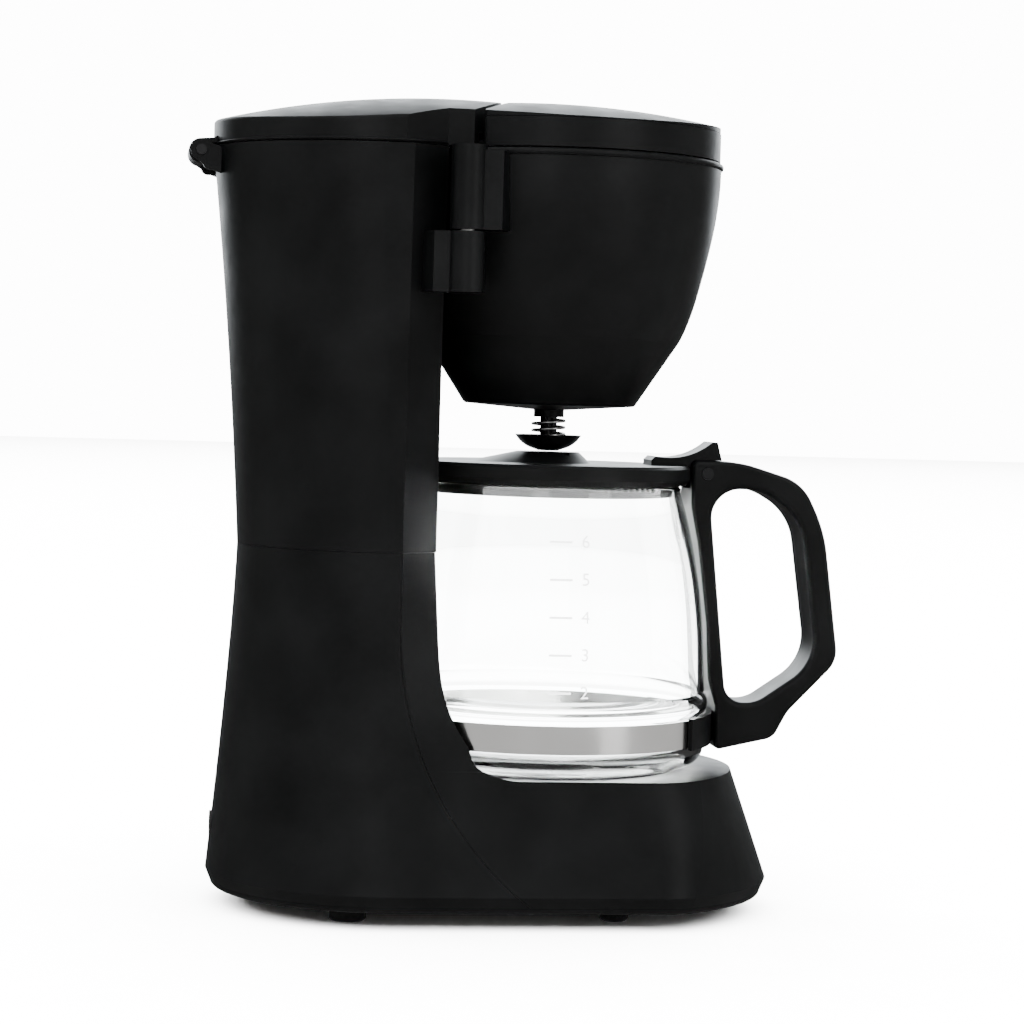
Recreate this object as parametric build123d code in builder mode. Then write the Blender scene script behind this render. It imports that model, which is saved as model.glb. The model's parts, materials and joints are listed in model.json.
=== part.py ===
from build123d import *
import math
import os

# Drip coffee maker, millimetres.  Front is -Y, back is +Y, up is +Z, and the feet stand on z = 0.
# The jug, the filter holder and the warming plate share one vertical axis, the brewing axis.

# ---- Driving dimensions --------------------------------------------------------------------
WALL = 2.4                # moulded wall
GAP = 0.4                 # gap between pieces that move past each other
PARTING = 0.12            # gap at a fixed parting line
BREW_Y = -12.0            # brewing axis, at x = 0

FOOT_HEIGHT = 5.8
SKIRT_Z = 8.0             # lower edge of the housing, on top of the bottom plate
BASE_WIDE_Z = 11.6        # the housing is widest here
SKIRT_TAPER = 22.0        # and draws in below that by this angle
DECK_Z = 49.4             # flat deck in front of the column
SEAM_Z = 124.4            # parting line between the lower housing and the tank housing
TANK_TOP_Z = 259.7
HEAD_Z = 260.3            # underside of the fixed head, just above the filter holder
RIM_Z = 270.0             # upper edge of the head band and of the tank lid's skirt
APEX_Z = 279.0            # crown of the tank lid

WIDE_HALF = 61.0          # half-width of the housing at its widest
SEAM_HALF = 48.2          # half-width of the column at the parting line
TOP_HALF = 54.1           # half-width of the column at the top
SEAM_BACK = 95.6          # back of the column at the parting line
TOP_BACK = 106.9          # back of the column at the top
BASE_FLARE = 8.4          # how far the back swings out again at the bottom
DECK_FRONT = -79.2        # front of the housing at deck height
BASE_FRONT = -92.8        # front of the housing at its widest
FRONT_ARC = 66.0          # plan radius of the housing's front
FRONT_CORNER = 24.0
CREASE_Y = 42.7           # vertical crease at the column's side
FACET_X = 9.2             # the facet in front of the crease steps in by this much
FACET_Y = 12.2            # and forward by this much
THROAT_LOW = 60.2         # radius of the hollow behind the jug, near the deck
THROAT_SEAM = 57.4        # the same at the parting line
THROAT_TOP = 61.8         # the same beside the filter holder's rim

HOLDER_LIP_R = 58.4
HEAD_R = 57.2
LID_NOSE_R = 82.0         # plan radius of the tank lid's rounded nose
LID_NOSE_Y = 8.5          # foremost point of that nose
HEAD_GAP = 3.0            # gap between the nose and the head
CROWN_Y = 310.0           # radius of both domed tops, along the machine
LID_CROWN_X = 158.0       # the same across the tank lid
HEAD_CROWN_X = 205.0      # and across the head

HINGE_X = -54.5           # pin of the swinging filter holder
HINGE_Y = 24.8
KNUCKLE_R = 5.9
KNUCKLE_SPLIT_Z = 231.6
HINGE_PIN_R = 2.5

LID_PIN_Y = 111.4         # pin of the tank lid
LID_PIN_Z = 258.0
LID_PIN_R = 1.8
HOOK_R = 4.2              # outside of the lid's hook around that pin

PLATE_TOP_Z = 50.4
JUG_BOTTOM_Z = 50.75
TUBE_BEND_R = 22.0        # bend of the water tube under the warming plate
TUBE_R = 4.5
HEATER_R = 4.0
HOSE_X = 22.0
HOSE_Y = 56.0

HANDLE_HALF = 11.0
PIVOT_Y = -67.2           # pin of the jug lid
PIVOT_Z = 152.3

SWITCH_Y = -20.0
SWITCH_Z = 30.0

BREW_AXIS = Axis((0, BREW_Y, 0), (0, 0, 1))
BREW_PLANE = Plane(origin=(0, BREW_Y, 0), x_dir=(1, 0, 0), z_dir=(0, -1, 0))
SIDE = Plane.YZ           # profiles seen from the side: (y, z)

os.makedirs("parts", exist_ok=True)


def save(piece, name):
    """Label a finished piece and write its STEP file."""
    piece.part.label = name
    export_step(piece.part, f"parts/{name}.step")


def polar(radius, degrees):
    """Plan point at an angle about the brewing axis, measured from the front towards -X."""
    turn = math.radians(degrees)
    return (-radius * math.sin(turn), BREW_Y - radius * math.cos(turn))


# ---- Outer form of the housing -------------------------------------------------------------
def fall(z):
    """0 at the parting line, 1 where the housing is widest."""
    return min((SEAM_Z - z) / (SEAM_Z - BASE_WIDE_Z), 1.0)


def rise(z):
    """0 at the parting line, 1 at the top of the tank."""
    return (z - SEAM_Z) / (TANK_TOP_Z - SEAM_Z)


def half_width(z):
    if z > SEAM_Z:
        return SEAM_HALF + (TOP_HALF - SEAM_HALF) * (0.63 * rise(z) + 0.37 * rise(z) ** 2)
    return SEAM_HALF + (WIDE_HALF - SEAM_HALF) * fall(z) ** 2.2


def back_y(z):
    if z > SEAM_Z:
        return SEAM_BACK + (TOP_BACK - SEAM_BACK) * (0.63 * rise(z) + 0.37 * rise(z) ** 2)
    return SEAM_BACK + BASE_FLARE * fall(z) ** 1.3


def front_y(z):
    depth = (DECK_Z - z) / (DECK_Z - BASE_WIDE_Z)
    return DECK_FRONT + (BASE_FRONT - DECK_FRONT) * min(depth, 1.0)


def base_section(z, inset):
    """Oval plan of the lower housing at one height: round back, straight sides, bowed front."""
    half = half_width(z) - inset
    back = back_y(z) - inset
    front = front_y(z) + inset
    arc = FRONT_ARC - inset
    side_end = front + arc - math.sqrt(arc**2 - half**2)
    with BuildSketch(Plane.XY.offset(z)) as section:
        with BuildLine():
            ThreePointArc((half, back - half), (0, back), (-half, back - half))
            Line((-half, back - half), (-half, side_end))
            ThreePointArc((-half, side_end), (0, front), (half, side_end))
            Line((half, side_end), (half, back - half))
        make_face()
        fillet(section.vertices().sort_by(Axis.Y)[:2], radius=FRONT_CORNER - inset)
    return section.sketch


def column_section(z, inset):
    """Plan of the tank housing: round back, creased sides, facets running in to the front."""
    half = half_width(z) - inset
    back = back_y(z) - inset
    crease = CREASE_Y - 0.3 * inset
    with BuildSketch(Plane.XY.offset(z)) as section:
        with BuildLine():
            ThreePointArc((half, back - half), (0, back), (-half, back - half))
            Polyline(
                (-half, back - half), (-half, crease),
                (-half + FACET_X, CREASE_Y - FACET_Y + inset), (half - FACET_X, CREASE_Y - FACET_Y + inset),
                (half, crease), (half, back - half),
            )
        make_face()
    return section.sketch


def throat(inset):
    """Round hollow in the column's front that takes the jug and the filter holder."""
    with BuildPart() as hollow:
        with BuildSketch(BREW_PLANE):
            with BuildLine():
                Polyline((0, DECK_Z - inset), (THROAT_LOW - 6 + inset, DECK_Z - inset))
                ThreePointArc(
                    (THROAT_LOW - 6 + inset, DECK_Z - inset),
                    (THROAT_LOW - 1.9 + inset, DECK_Z + 2.2 - inset),
                    (THROAT_LOW + inset, DECK_Z + 7),
                )
                Polyline(
                    (THROAT_LOW + inset, DECK_Z + 7), (THROAT_SEAM + inset, SEAM_Z),
                    (THROAT_TOP + inset, TANK_TOP_Z), (THROAT_TOP + inset, TANK_TOP_Z + 5),
                    (0, TANK_TOP_Z + 5), (0, DECK_Z - inset),
                )
            make_face()
        revolve(axis=BREW_AXIS)
    return hollow.part


def sweep_edge(inset):
    """Side view of everything above the deck and in front of the column."""
    far = -130
    with BuildPart() as space:
        with BuildSketch(SIDE):
            with BuildLine():
                Line((31.0 + inset, SEAM_Z + 1), (29.4 + inset, 92))
                Spline(
                    (29.4 + inset, 92), (25.8 + inset, 72), (17.2 + inset, 57.4 - inset),
                    (2.0, DECK_Z - inset), tangents=[(-0.05, -1), (-1, -0.05)],
                )
                Polyline((2.0, DECK_Z - inset), (far, DECK_Z - inset), (far, SEAM_Z + 1),
                         (31.0 + inset, SEAM_Z + 1))
            make_face()
        extrude(amount=90, both=True)
    return space.part


def facet_cuts(inset):
    """Wedges that turn the column's front corners into facets and fade out towards the deck."""
    levels = [(52.4, 31.8, 8.0, 0.2), (70.4, 38.0, 25.0, 1.7), (88.4, 41.6, 29.2, 4.0),
              (106.4, CREASE_Y, 29.9, 6.5), (SEAM_Z, CREASE_Y, CREASE_Y - FACET_Y, FACET_X)]
    with BuildPart() as wedge:
        for z, crease, edge, step in levels:
            half = half_width(z)
            direction = Vector(step, edge - crease).normalized()
            inward = Vector(-direction.Y, direction.X)
            rear = Vector(-half, crease) + inward * inset - direction * 4
            fore = Vector(-half + step, edge) + inward * inset + direction * 4
            with BuildSketch(Plane.XY.offset(z)):
                with BuildLine():
                    Polyline((rear.X, rear.Y), (fore.X, fore.Y), (-half - 20, fore.Y), (rear.X, rear.Y))
                make_face()
        loft()
    return wedge.part


def lower_form(inset):
    """Lower housing as a solid; the hollow is the same form, made smaller."""
    stages = 6
    with BuildPart() as form:
        for stage in range(stages + 1):
            add(base_section(BASE_WIDE_Z + (SEAM_Z - BASE_WIDE_Z) * stage / stages, inset))
        loft()
        add(base_section(BASE_WIDE_Z, inset))
        extrude(amount=SKIRT_Z - BASE_WIDE_Z, taper=SKIRT_TAPER)
        add(sweep_edge(inset), mode=Mode.SUBTRACT)
        add(throat(inset), mode=Mode.SUBTRACT)
        wedge = facet_cuts(inset)
        add(wedge, mode=Mode.SUBTRACT)
        add(wedge.mirror(Plane.YZ), mode=Mode.SUBTRACT)
    return form.part


def rear_region(margin):
    """Side view of everything behind the parting line between rear shell and pedestal."""
    with BuildPart() as region:
        with BuildSketch(SIDE):
            with BuildLine():
                Polyline((CREASE_Y + margin, SEAM_Z + 1), (CREASE_Y + margin, 96))
                ThreePointArc((CREASE_Y + margin, 96), (31.4 + margin, 49), (-2.0 + margin, SKIRT_Z))
                Polyline((-2.0 + margin, SKIRT_Z), (-2.0 + margin, 0), (130, 0), (130, SEAM_Z + 1),
                         (CREASE_Y + margin, SEAM_Z + 1))
            make_face()
        extrude(amount=90, both=True)
        with BuildSketch():
            with Locations((0, BREW_Y)):
                Circle(THROAT_LOW + WALL + 0.8 + margin)
            Rectangle(94, 200, mode=Mode.INTERSECT)
        extrude(amount=SEAM_Z + 1, mode=Mode.SUBTRACT)
    return region.part


def upper_form(inset, bottom):
    with BuildPart() as form:
        for stage in range(5):
            add(column_section(bottom + (TANK_TOP_Z - bottom) * stage / 4, inset))
        loft()
        add(throat(inset), mode=Mode.SUBTRACT)
    return form.part


LOWER_SHELL = lower_form(0) - lower_form(WALL)

# ---- Base ----------------------------------------------------------------------------------
FRONT_POST = [(-44, -48), (44, -48)]
REAR_POST = [(-38.5, 79), (38.5, 79)]
POSTS = FRONT_POST + REAR_POST
SCREW_R = 1.5
POST_R = 4.5
SCREW_HEAD_R = 2.8
SCREW_HEAD = 1.2
GLAND_Z = 26.0            # the cord leaves the back wall at this height
GLAND_R = 5.2

switch_lean = math.degrees(math.atan((half_width(SWITCH_Z - 4) - half_width(SWITCH_Z + 4)) / 8))
lean = math.radians(switch_lean)
SWITCH_PLANE = Plane(
    origin=(half_width(SWITCH_Z), SWITCH_Y, SWITCH_Z), x_dir=(0, 1, 0),
    z_dir=(math.cos(lean), 0, math.sin(lean)),
)

with BuildPart() as pedestal:
    add(LOWER_SHELL)
    add(rear_region(-PARTING), mode=Mode.SUBTRACT)
    with BuildSketch(Plane.XY.offset(SKIRT_Z)):
        with Locations(*FRONT_POST):
            Circle(POST_R)
    extrude(amount=DECK_Z - WALL - SKIRT_Z + 0.2)
    with BuildSketch(Plane.XY.offset(SKIRT_Z)):
        with Locations(*FRONT_POST):
            Circle(SCREW_R)
    extrude(amount=14, mode=Mode.SUBTRACT)
    with Locations((0, BREW_Y, DECK_Z - 1.2)):
        Cylinder(48.5, 5, align=(Align.CENTER, Align.CENTER, Align.MIN), mode=Mode.SUBTRACT)
    with Locations((0, BREW_Y, DECK_Z - 10)):
        Cylinder(43.5, 12, align=(Align.CENTER, Align.CENTER, Align.MIN), mode=Mode.SUBTRACT)
    with BuildSketch(SWITCH_PLANE.offset(3)):
        Rectangle(20.4, 13.4)
    extrude(amount=-12, mode=Mode.SUBTRACT)
save(pedestal, "pedestal")

with BuildPart() as rear_shell:
    add(LOWER_SHELL)
    add(rear_region(0), mode=Mode.INTERSECT)
    with BuildSketch(Plane.XY.offset(SKIRT_Z)):
        with Locations(*REAR_POST):
            Circle(POST_R)
    extrude(amount=26)
    with BuildSketch(Plane.XY.offset(SKIRT_Z)):
        with Locations(*REAR_POST):
            Circle(SCREW_R)
    extrude(amount=14, mode=Mode.SUBTRACT)
    with BuildSketch(Plane.XZ.offset(-85)):
        with Locations((0, GLAND_Z)):
            Circle(GLAND_R + 0.1)
    extrude(amount=-30, mode=Mode.SUBTRACT)
save(rear_shell, "rear_shell")

with BuildPart() as bottom_plate:
    add(base_section(SKIRT_Z, 1.7))
    extrude(amount=-(SKIRT_Z - FOOT_HEIGHT))
    fillet(bottom_plate.edges().group_by(Axis.Z)[0], radius=1.9)
    with BuildSketch(Plane.XY.offset(FOOT_HEIGHT)):
        with Locations((0, BREW_Y)):
            with GridLocations(0, 9, 1, 7):
                SlotOverall(44, 3.2)
    extrude(amount=4, mode=Mode.SUBTRACT)
    with BuildSketch(Plane.XY.offset(FOOT_HEIGHT)):
        with Locations(*POSTS):
            Circle(SCREW_R + 0.3)
    extrude(amount=4, mode=Mode.SUBTRACT)
    with BuildSketch(Plane.XY.offset(FOOT_HEIGHT)):
        with Locations(*POSTS):
            Circle(SCREW_HEAD_R + 0.3)
    extrude(amount=SCREW_HEAD + 0.1, mode=Mode.SUBTRACT)
save(bottom_plate, "bottom_plate")

with BuildPart() as base_screws:
    with Locations(*[Location((x, y, FOOT_HEIGHT + 0.1)) for x, y in POSTS]):
        Cylinder(SCREW_HEAD_R, SCREW_HEAD, align=(Align.CENTER, Align.CENTER, Align.MIN))
        Cylinder(SCREW_R - 0.02, SCREW_HEAD + 13, align=(Align.CENTER, Align.CENTER, Align.MIN))
    with BuildSketch(Plane.XY.offset(FOOT_HEIGHT)):
        with Locations(*POSTS):
            Rectangle(3.6, 0.8)
            Rectangle(0.8, 3.6)
    extrude(amount=0.8, mode=Mode.SUBTRACT)
save(base_screws, "base_screws")


def feet(name, y, radius, round_over):
    with BuildPart() as pair:
        with BuildSketch():
            with Locations((-37, y), (37, y)):
                Circle(radius)
        extrude(amount=FOOT_HEIGHT)
        fillet(pair.edges().group_by(Axis.Z)[0], radius=round_over)
    save(pair, name)


feet("rear_feet", 57, 6.2, 1.2)
feet("front_feet", -34, 4.8, 2.0)

with BuildPart() as cord_gland:
    with BuildSketch(Plane.XZ.offset(-97)):
        with Locations((0, GLAND_Z)):
            Circle(GLAND_R)
    extrude(amount=97 - back_y(GLAND_Z) - 0.3)
    with BuildSketch(Plane.XZ.offset(-97)):
        with Locations((0, GLAND_Z)):
            Circle(GLAND_R + 2)
    extrude(amount=-2.0)
    with BuildSketch(Plane.XZ.offset(-96)):
        with Locations((0, GLAND_Z)):
            Circle(3.3)
    extrude(amount=-12, mode=Mode.SUBTRACT)
save(cord_gland, "cord_gland")

# ---- Tank housing, riser and tank lid ------------------------------------------------------
TANK_BOTTOM = SEAM_Z + PARTING
TANK_FLOOR = 129.0
RISER_Z = 267.6
NOTCH_X = -5.5           # where the riser pipe crosses from the tank to the head
RISER_R = 4.2
CAP_R = 12.0


def knuckle_at(z, height, radius):
    with Locations((HINGE_X, HINGE_Y, z)):
        Cylinder(radius, height, align=(Align.CENTER, Align.CENTER, Align.MIN))


def tank_floor():
    """Slab that closes the tank, let a little into its walls."""
    with BuildPart() as slab:
        add(upper_form(WALL - 0.5, TANK_BOTTOM))
        with Locations((0, 0, TANK_FLOOR)):
            Box(300, 300, WALL, align=(Align.CENTER, Align.CENTER, Align.MIN), mode=Mode.INTERSECT)
    return slab.part


with BuildPart() as tank_housing:
    add(upper_form(0, TANK_BOTTOM))
    add(upper_form(WALL, TANK_BOTTOM), mode=Mode.SUBTRACT)
    add(tank_floor())
    # outlet spigot and riser socket under the floor
    with Locations((HOSE_X, HOSE_Y, TANK_FLOOR - 9), (-HOSE_X, HOSE_Y, TANK_FLOOR - 9)):
        Cylinder(4.6, 9.5, align=(Align.CENTER, Align.CENTER, Align.MIN))
        Cylinder(3.0, 14, align=(Align.CENTER, Align.CENTER, Align.MIN), mode=Mode.SUBTRACT)
    # lower hinge knuckle and the bracket that carries it
    knuckle_at(KNUCKLE_SPLIT_Z - 20.3, 20.0, KNUCKLE_R)
    with BuildSketch(Plane.XY.offset(KNUCKLE_SPLIT_Z - 20.3)):
        with BuildLine():
            Polyline((HINGE_X - 1.5, HINGE_Y + 5.4), (HINGE_X - 1.0, HINGE_Y + 11), (-47.5, 39.4),
                     (-43.6, 33.4), (-47.0, 27.4), (-52, HINGE_Y), (HINGE_X - 1.5, HINGE_Y + 5.4))
        make_face()
    extrude(amount=20.0)
    with Locations((HINGE_X, HINGE_Y, KNUCKLE_SPLIT_Z - 24)):
        Cylinder(HINGE_PIN_R, 30, align=(Align.CENTER, Align.CENTER, Align.MIN), mode=Mode.SUBTRACT)
    # ears for the tank lid's pin
    for x in (-14.5, 10.5):
        with BuildSketch(Plane.YZ.offset(x)):
            with BuildLine():
                Polyline((104.6, 250.4), (108.2, 251.6), (LID_PIN_Y + 2.6, LID_PIN_Z - 2.6),
                         (LID_PIN_Y, LID_PIN_Z + 3.3), (104.6, LID_PIN_Z + 1.2), (104.6, 250.4))
            make_face()
            with Locations((LID_PIN_Y, LID_PIN_Z)):
                Circle(3.6)
            with Locations((LID_PIN_Y - 3.2, LID_PIN_Z - 4.0)):
                Circle(2.7)
        extrude(amount=4)
    with BuildSketch(Plane.YZ.offset(-20)):
        with Locations((LID_PIN_Y, LID_PIN_Z)):
            Circle(LID_PIN_R)
    extrude(amount=40, mode=Mode.SUBTRACT)
save(tank_housing, "tank_housing")

with BuildPart() as lid_hinge_pin:
    with BuildSketch(Plane.YZ.offset(-15.2)):
        with Locations((LID_PIN_Y, LID_PIN_Z)):
            Circle(LID_PIN_R - 0.03)
    extrude(amount=30.4)
save(lid_hinge_pin, "lid_hinge_pin")


def lid_plan(z, inset):
    """Tank lid from above: round back, creased sides, waist, and a nose that meets the head."""
    half = TOP_HALF + 0.3 - inset
    waist = TOP_HALF - 8.6 - inset
    back = TOP_BACK - inset
    nose = LID_NOSE_R - inset
    nose_side = LID_NOSE_Y + LID_NOSE_R - math.sqrt(nose**2 - waist**2)
    with BuildSketch(Plane.XY.offset(z)) as plan:
        with BuildLine():
            ThreePointArc((half, back - half), (0, back), (-half, back - half))
            Polyline((-half, back - half), (-half, 45.5 + 0.3 * inset), (-waist, 31.0), (-waist, nose_side))
            ThreePointArc((-waist, nose_side), (0, LID_NOSE_Y + inset), (waist, nose_side))
            Polyline((waist, nose_side), (waist, 31.0), (half, 45.5 + 0.3 * inset), (half, back - half))
        make_face()
    return plan.sketch


def crown(apex_y, apex_z, radius_x, radius_y):
    """Barrel whose top is a shallow dome: radius_y along the machine, radius_x across it."""
    reach = 110
    axis_z = apex_z - radius_x
    end_z = apex_z - radius_y + math.sqrt(radius_y**2 - reach**2)
    with BuildPart() as barrel:
        with BuildSketch(SIDE):
            with BuildLine():
                ThreePointArc((apex_y - reach, end_z), (apex_y, apex_z), (apex_y + reach, end_z))
                Polyline((apex_y + reach, end_z), (apex_y + reach, axis_z), (apex_y - reach, axis_z),
                         (apex_y - reach, end_z))
            make_face()
        revolve(axis=Axis((0, 0, axis_z), (0, 1, 0)))
    return barrel.part


LID_BOTTOM = TANK_TOP_Z + GAP


def lid_hollow():
    with BuildPart() as hollow:
        add(lid_plan(LID_BOTTOM - 1, WALL))
        extrude(amount=30)
        add(crown(28, APEX_Z - WALL, LID_CROWN_X, CROWN_Y), mode=Mode.INTERSECT)
    return hollow.part


with BuildPart() as tank_lid:
    add(lid_plan(LID_BOTTOM, 0))
    extrude(amount=30)
    add(crown(28, APEX_Z, LID_CROWN_X, CROWN_Y), mode=Mode.INTERSECT)
    upper_edges = tank_lid.edges().filter_by(lambda edge: edge.center().Z > RIM_Z - 3)
    fillet(upper_edges.group_by(SortBy.LENGTH)[-1], radius=1.2)
    add(lid_hollow(), mode=Mode.SUBTRACT)
    with BuildSketch(Plane.XY.offset(LID_BOTTOM - 1)):
        with Locations((0, 12)):
            Rectangle(85, 50)
    extrude(amount=5.6, mode=Mode.SUBTRACT)
    with BuildSketch(Plane.XY.offset(LID_BOTTOM - 1)):
        with Locations((NOTCH_X, 10)):
            Rectangle(13, 12)
    extrude(amount=14.3, mode=Mode.SUBTRACT)
    # hook that wraps the pin
    with BuildSketch(Plane.YZ.offset(-10)):
        with BuildLine():
            Polyline((105.6, 261.0), (105.6, 263.4), (107.2, 262.5), (LID_PIN_Y, LID_PIN_Z + HOOK_R),
                     (LID_PIN_Y - 2.6, LID_PIN_Z + 2.6), (105.6, 261.0))
        make_face()
        with Locations((LID_PIN_Y, LID_PIN_Z)):
            Circle(HOOK_R)
            Circle(LID_PIN_R + 0.07, mode=Mode.SUBTRACT)
    extrude(amount=20)
save(tank_lid, "tank_lid")

# ---- Fixed head ----------------------------------------------------------------------------
with BuildPart() as nose_space:
    with BuildSketch(Plane.XY.offset(HEAD_Z - 2)):
        with Locations((0, LID_NOSE_Y + LID_NOSE_R)):
            Circle(LID_NOSE_R + HEAD_GAP)
    extrude(amount=40)


def head_plan(inset):
    with BuildSketch(Plane.XY.offset(HEAD_Z)) as plan:
        with Locations((0, BREW_Y)):
            Circle(HEAD_R - inset)
        with Locations((0, LID_NOSE_Y + LID_NOSE_R)):
            Circle(LID_NOSE_R + HEAD_GAP + inset, mode=Mode.SUBTRACT)
    return plan.sketch


def head_hollow(bottom):
    with BuildPart() as hollow:
        with BuildSketch(Plane.XY.offset(bottom)):
            add(head_plan(WALL))
        extrude(amount=20)
    return hollow.part


COVER_Z = RIM_Z + 0.2
with BuildPart() as head_shell:
    add(head_plan(0))
    extrude(amount=RIM_Z - HEAD_Z)
    fillet(head_shell.edges().filter_by(Axis.Z), radius=2.0)
    add(head_hollow(HEAD_Z + WALL), mode=Mode.SUBTRACT)
    # tongue that reaches back under the tank lid and rests on the tank's front wall
    with BuildSketch(Plane.XY.offset(HEAD_Z)):
        with Locations((0, 26)):
            Rectangle(76, 50)
        with Locations((0, BREW_Y)):
            Circle(63, mode=Mode.INTERSECT)
    extrude(amount=WALL)
    with BuildSketch(Plane.XY.offset(TANK_TOP_Z)):
        with Locations((-30, 42.5), (30, 42.5)):
            Circle(3)
    extrude(amount=HEAD_Z - TANK_TOP_Z)
    with BuildSketch(Plane.XY.offset(HEAD_Z + 1)):
        with Locations((0, BREW_Y)):
            Circle(CAP_R + 1.0)
    extrude(amount=4, mode=Mode.SUBTRACT)
    with BuildSketch(Plane.XY.offset(HEAD_Z - 1)):
        with Locations((0, BREW_Y)):
            Circle(CAP_R - 2)
    extrude(amount=4, mode=Mode.SUBTRACT)
    # notch for the riser pipe
    with BuildSketch(Plane.XY.offset(RISER_Z - 5)):
        with Locations((NOTCH_X, 12)):
            Rectangle(12, 20)
    extrude(amount=10, mode=Mode.SUBTRACT)
save(head_shell, "head_shell")

with BuildPart() as head_cover:
    with BuildSketch(Plane.XY.offset(COVER_Z)):
        add(head_plan(0.2))
    extrude(amount=20)
    fillet(head_cover.edges().filter_by(Axis.Z), radius=1.8)
    add(crown(-6, APEX_Z - 0.3, HEAD_CROWN_X, CROWN_Y), mode=Mode.INTERSECT)
    add(head_hollow(COVER_Z - 1) & crown(-6, APEX_Z - 0.3 - WALL, HEAD_CROWN_X, CROWN_Y), mode=Mode.SUBTRACT)
    with BuildSketch(Plane.XY.offset(COVER_Z - 1)):
        with Locations((NOTCH_X, 8)):
            Rectangle(12, 12)
    extrude(amount=4.2, mode=Mode.SUBTRACT)
save(head_cover, "head_cover")

with BuildPart() as water_spreader:
    with BuildSketch(BREW_PLANE):
        with BuildLine():
            Polyline((0, HEAD_Z + 1.0), (CAP_R + 0.8, HEAD_Z + 1.0), (CAP_R + 0.8, HEAD_Z + 2.4),
                     (CAP_R, HEAD_Z + 2.4), (CAP_R, RISER_Z + 6.5), (CAP_R - 2, RISER_Z + 6.5),
                     (CAP_R - 2, HEAD_Z + 2.6), (0, HEAD_Z + 2.6), (0, HEAD_Z + 1.0))
        make_face()
    revolve(axis=BREW_AXIS)
    with BuildSketch(Plane.XY.offset(HEAD_Z)):
        with Locations((0, BREW_Y)):
            with PolarLocations(7, 8):
                Circle(1.1)
    extrude(amount=5, mode=Mode.SUBTRACT)
    with BuildSketch(Plane(origin=(-6, 8, RISER_Z), z_dir=(6, -20, 0))):
        Circle(RISER_R + 0.02)
    extrude(amount=20, mode=Mode.SUBTRACT)
save(water_spreader, "water_spreader")


def tube(path_points, bends, outer, bore):
    """Round tube along straight runs joined by tangent bends."""
    with BuildPart() as piece:
        with BuildLine() as route:
            FilletPolyline(*path_points, radius=bends)
        start = Plane(origin=route.line @ 0, z_dir=route.line % 0)
        with BuildSketch(start):
            Circle(outer)
            if bore:
                Circle(bore, mode=Mode.SUBTRACT)
        sweep(path=route.line)
    return piece


riser_pipe = tube(
    [(-HOSE_X, HOSE_Y, TANK_FLOOR + WALL), (-HOSE_X, HOSE_Y, RISER_Z), (-3.3, BREW_Y + 10.9, RISER_Z)],
    11, RISER_R, 3.0,
)
save(riser_pipe, "riser_pipe")

with BuildPart() as tank_strainer:
    with BuildSketch(Plane(origin=(HOSE_X, HOSE_Y, 0), x_dir=(1, 0, 0), z_dir=(0, -1, 0))):
        with BuildLine():
            base = TANK_FLOOR + WALL
            Polyline((0, base + 5), (0, base + 6), (4, base + 6), (7.5, base + 1.2), (9, base + 1.2),
                     (9, base), (6.6, base), (3.6, base + 5), (0, base + 5))
        make_face()
    revolve(axis=Axis((HOSE_X, HOSE_Y, 0), (0, 0, 1)))
save(tank_strainer, "tank_strainer")

# ---- Swinging filter holder ----------------------------------------------------------------
HOLDER_TOP_Z = TANK_TOP_Z
HOLDER_CORNER = (29.8, 174.9)      # lower outer corner of the holder: radius, height
HOLDER_BREAK = (44.8, 197.8)       # where its curved side turns into the lower cone
BOSS_R = 5.3
BOSS_Z = 170.6
BOSS_HEIGHT = 5.0         # the drip stop's seal comes down almost onto the boss
STEM_R = 3.0


def holder_outline(inset, top):
    """Half profile of the filter holder's body: belly, cone, shallow conical floor."""
    corner_r, corner_z = HOLDER_CORNER
    break_r, break_z = HOLDER_BREAK
    Spline(
        (57.6 - inset, top), (56.4 - inset, 241.0), (52.0 - inset, 219.5), (break_r - inset, break_z),
        tangents=[(0.02, -1), (-0.45, -0.89)],
    )
    Polyline((break_r - inset, break_z), (corner_r - inset * 0.7, corner_z + inset * 0.7),
             (0, corner_z - 2.2 + inset), (0, top), (57.6 - inset, top))


def holder_form(inset, top):
    with BuildPart() as form:
        with BuildSketch(BREW_PLANE):
            with BuildLine():
                holder_outline(inset, top)
            make_face()
        revolve(axis=BREW_AXIS)
    return form.part


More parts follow.
